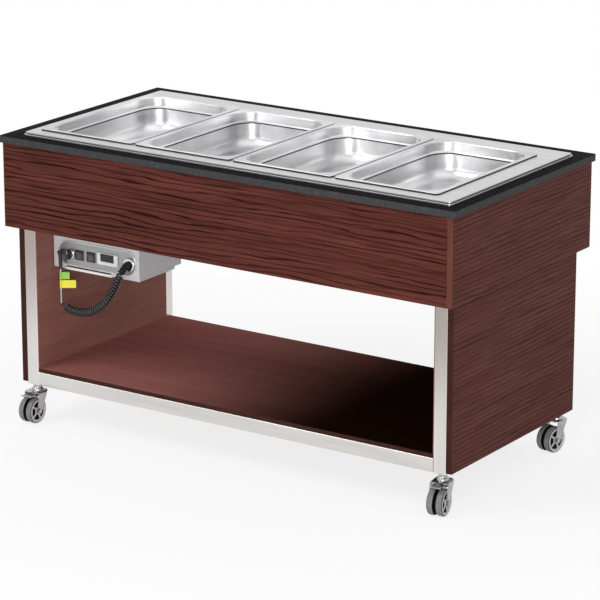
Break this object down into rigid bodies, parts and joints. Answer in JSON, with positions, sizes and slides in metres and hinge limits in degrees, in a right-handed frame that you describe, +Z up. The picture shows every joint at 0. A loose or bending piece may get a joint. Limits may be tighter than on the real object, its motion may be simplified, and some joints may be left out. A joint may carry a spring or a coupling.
{
  "type": "heated buffet display",
  "caption": "Mobile heated buffet table with a black stone worktop, drop-in well of gastronorm pans, wood-laminate apron and ends, control box with curly cord, shelf and casters",
  "frame": {"origin": "on the floor under the middle of the worktop", "axes": "+X along the counter, -Y out of the side with the controls, +Z up"},
  "size_m": [1.5, 0.75, 0.8643],
  "materials": {
    "black_stone": "honed black engineered stone",
    "redwood_laminate": "satin wood-grain laminate",
    "frame_steel": "satin stainless tube",
    "well_steel": "brushed stainless sheet",
    "pan_steel": "polished pressed stainless",
    "galvanised_steel": "plain zinc-coated sheet",
    "black_rubber": "smooth",
    "heater_silicone": "smooth silicone",
    "valve_brass": "turned",
    "box_grey": "light grey powder coat",
    "fascia_aluminium": "satin anodised",
    "black_plastic": "fine satin",
    "white_plastic": "smooth",
    "display_lens": "dark tinted lens",
    "cord_black": "smooth jacket",
    "cord_grey": "smooth jacket",
    "tag_green": "smooth sleeve",
    "tag_yellow": "smooth sleeve",
    "chrome_steel": "bright plated",
    "wheel_grey": "grey non-marking tread",
    "plywood_batten": "raw"
  },
  "bodies": {
    "table": {"apron_battens": "plywood_batten", "apron_front": "redwood_laminate", "apron_left": "redwood_laminate", "apron_rear": "redwood_laminate", "apron_right": "redwood_laminate", "bottom_rails": "frame_steel", "box_hangers": "galvanised_steel", "caster_stems": "chrome_steel", "control_box": "box_grey", "control_box_cover": "box_grey", "cord_boot": "black_rubber", "cord_gland": "chrome_steel", "cord_tail": "cord_grey", "crossbars": "well_steel", "curly_cord": "cord_black", "display_window": "display_lens", "drain_valve": "valve_brass", "end_lining_left": "redwood_laminate", "end_lining_right": "redwood_laminate", "end_panel_left": "redwood_laminate", "end_panel_right": "redwood_laminate", "fascia": "fascia_aluminium", "frame_posts": "frame_steel", "heater_mats": "heater_silicone", "plug": "cord_grey", "rotary_switch": "black_plastic", "shelf": "redwood_laminate", "switch_frames": "black_plastic", "tag_green": "tag_green", "tag_yellow": "tag_yellow", "thermostat": "white_plastic", "top_rails": "frame_steel", "well_gasket": "black_rubber", "well_jacket": "galvanised_steel", "well_tank": "well_steel", "well_trim": "well_steel", "worktop": "black_stone"},
    "pan_1": {"pan_1": "pan_steel"},
    "pan_2": {"pan_2": "pan_steel"},
    "pan_3": {"pan_3": "pan_steel"},
    "pan_4": {"pan_4": "pan_steel"},
    "drain_lever": {"drain_lever": "chrome_steel"},
    "knob": {"knob": "black_plastic"},
    "rocker_1": {"rocker_1": "black_plastic"},
    "rocker_2": {"rocker_2": "black_plastic"},
    "thermostat_key_1": {"thermostat_key_1": "white_plastic"},
    "thermostat_key_2": {"thermostat_key_2": "white_plastic"},
    "thermostat_key_3": {"thermostat_key_3": "white_plastic"},
    "caster_front_left": {"caster_fork_front_left": "chrome_steel"},
    "wheel_front_left": {"caster_wheel_front_left": "wheel_grey"},
    "pedal_front_left": {"brake_pedal_front_left": "chrome_steel"},
    "caster_front_right": {"caster_fork_front_right": "chrome_steel"},
    "wheel_front_right": {"caster_wheel_front_right": "wheel_grey"},
    "pedal_front_right": {"brake_pedal_front_right": "chrome_steel"},
    "caster_rear_left": {"caster_fork_rear_left": "chrome_steel"},
    "wheel_rear_left": {"caster_wheel_rear_left": "wheel_grey"},
    "caster_rear_right": {"caster_fork_rear_right": "chrome_steel"},
    "wheel_rear_right": {"caster_wheel_rear_right": "wheel_grey"}
  },
  "joints": [
    {"name": "pan_1_lift_out", "type": "slide", "parent": "table", "child": "pan_1", "axis": [0, 0, 1], "range_m": [0, 0.15]},
    {"name": "pan_2_lift_out", "type": "slide", "parent": "table", "child": "pan_2", "axis": [0, 0, 1], "range_m": [0, 0.15]},
    {"name": "pan_3_lift_out", "type": "slide", "parent": "table", "child": "pan_3", "axis": [0, 0, 1], "range_m": [0, 0.15]},
    {"name": "pan_4_lift_out", "type": "slide", "parent": "table", "child": "pan_4", "axis": [0, 0, 1], "range_m": [0, 0.15]},
    {"name": "drain_lever_turn", "type": "hinge", "parent": "table", "child": "drain_lever", "pos_m": [0.598, 0.155, 0.632], "axis": [0, -1, 0], "range_deg": [0, 90]},
    {"name": "knob_turn", "type": "hinge", "parent": "table", "child": "knob", "pos_m": [-0.596, -0.26, 0.5], "axis": [0, 1, 0], "range_deg": [0, 270]},
    {"name": "rocker_1_flip", "type": "hinge", "parent": "table", "child": "rocker_1", "pos_m": [-0.5645, -0.252, 0.5005], "axis": [-1, 0, 0], "range_deg": [0, 16]},
    {"name": "rocker_2_flip", "type": "hinge", "parent": "table", "child": "rocker_2", "pos_m": [-0.523, -0.252, 0.5005], "axis": [-1, 0, 0], "range_deg": [0, 16]},
    {"name": "thermostat_key_1_press", "type": "slide", "parent": "table", "child": "thermostat_key_1", "axis": [0, 1, 0], "range_m": [0, 0.0006], "stiffness_N_per_m": 400},
    {"name": "thermostat_key_2_press", "type": "slide", "parent": "table", "child": "thermostat_key_2", "axis": [0, 1, 0], "range_m": [0, 0.0006], "stiffness_N_per_m": 400},
    {"name": "thermostat_key_3_press", "type": "slide", "parent": "table", "child": "thermostat_key_3", "axis": [0, 1, 0], "range_m": [0, 0.0006], "stiffness_N_per_m": 400},
    {"name": "caster_front_left_swivel", "type": "hinge", "parent": "table", "child": "caster_front_left", "pos_m": [-0.686, -0.307, 0.09], "axis": [0, 0, 1], "continuous": true},
    {"name": "wheel_front_left_roll", "type": "hinge", "parent": "caster_front_left", "child": "wheel_front_left", "pos_m": [-0.686, -0.334, 0.0375], "axis": [1, 0, 0], "continuous": true},
    {"name": "pedal_front_left_press", "type": "hinge", "parent": "caster_front_left", "child": "pedal_front_left", "pos_m": [-0.686, -0.321, 0.081], "axis": [1, 0, 0], "range_deg": [0, 10]},
    {"name": "caster_front_right_swivel", "type": "hinge", "parent": "table", "child": "caster_front_right", "pos_m": [0.686, -0.307, 0.09], "axis": [0, 0, 1], "continuous": true},
    {"name": "wheel_front_right_roll", "type": "hinge", "parent": "caster_front_right", "child": "wheel_front_right", "pos_m": [0.69022, -0.33367, 0.0375], "axis": [0.9877, 0.1564, 0], "continuous": true},
    {"name": "pedal_front_right_press", "type": "hinge", "parent": "caster_front_right", "child": "pedal_front_right", "pos_m": [0.68819, -0.32083, 0.081], "axis": [0.9877, 0.1564, 0], "range_deg": [0, 10]},
    {"name": "caster_rear_left_swivel", "type": "hinge", "parent": "table", "child": "caster_rear_left", "pos_m": [-0.686, 0.307, 0.09], "axis": [0, 0, 1], "continuous": true},
    {"name": "wheel_rear_left_roll", "type": "hinge", "parent": "caster_rear_left", "child": "wheel_rear_left", "pos_m": [-0.686, 0.28, 0.0375], "axis": [1, 0, 0], "continuous": true},
    {"name": "caster_rear_right_swivel", "type": "hinge", "parent": "table", "child": "caster_rear_right", "pos_m": [0.686, 0.307, 0.09], "axis": [0, 0, 1], "continuous": true},
    {"name": "wheel_rear_right_roll", "type": "hinge", "parent": "caster_rear_right", "child": "wheel_rear_right", "pos_m": [0.68131, 0.28041, 0.0375], "axis": [0.9848, -0.1736, 0], "continuous": true}
  ]
}
